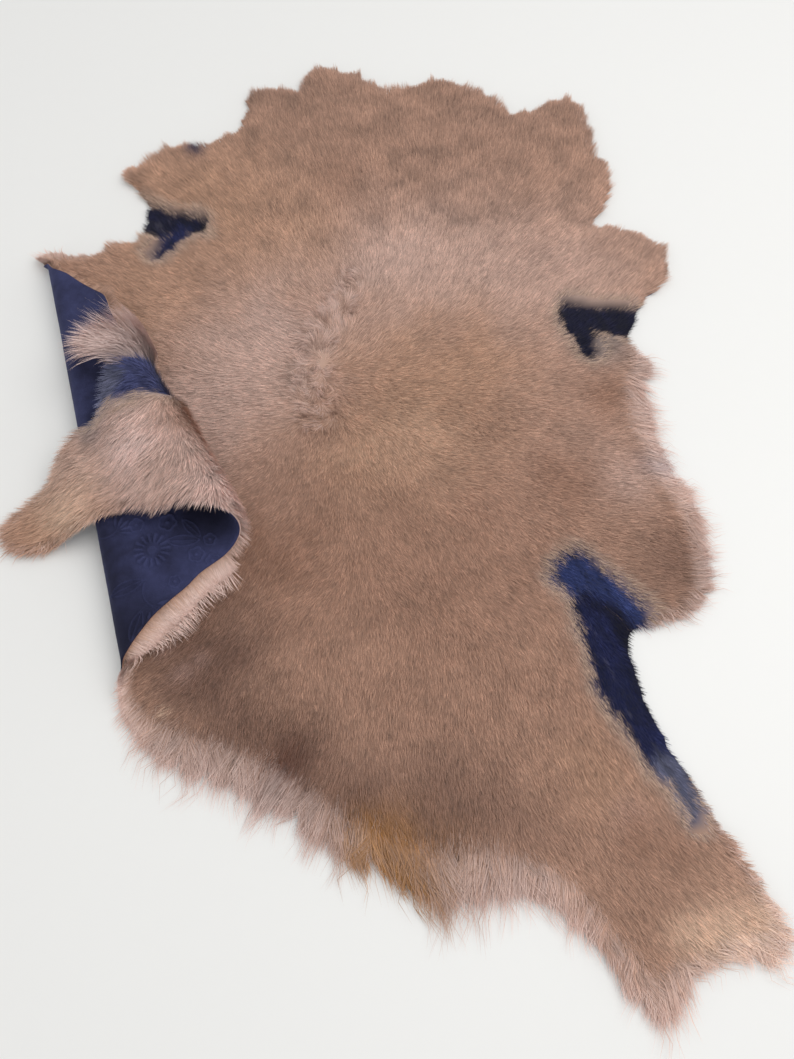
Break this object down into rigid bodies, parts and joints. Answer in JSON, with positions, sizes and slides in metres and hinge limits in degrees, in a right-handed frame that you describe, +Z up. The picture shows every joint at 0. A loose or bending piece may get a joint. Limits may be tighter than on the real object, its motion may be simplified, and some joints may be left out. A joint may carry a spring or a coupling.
{
  "type": "folded sheepskin",
  "caption": "Whole short-haired lamb hide lying fur side up, with one hind quarter folded in an S so that its dyed leather side shows.",
  "frame": {"origin": "on the floor, below the middle of the hide's box", "axes": "+Y from tail to neck, +X to the right of the hide seen from above with its neck away, +Z up"},
  "size_m": [0.7212, 1.0482, 0.081],
  "materials": {
    "fur": "short dusty rose-brown fur, brushed and matt, paler at the tips",
    "leather": "navy suede with a tone-on-tone pressed floral pattern, matt"
  },
  "bodies": {
    "root": {"sheepskin": "fur"}
  },
  "joints": []
}
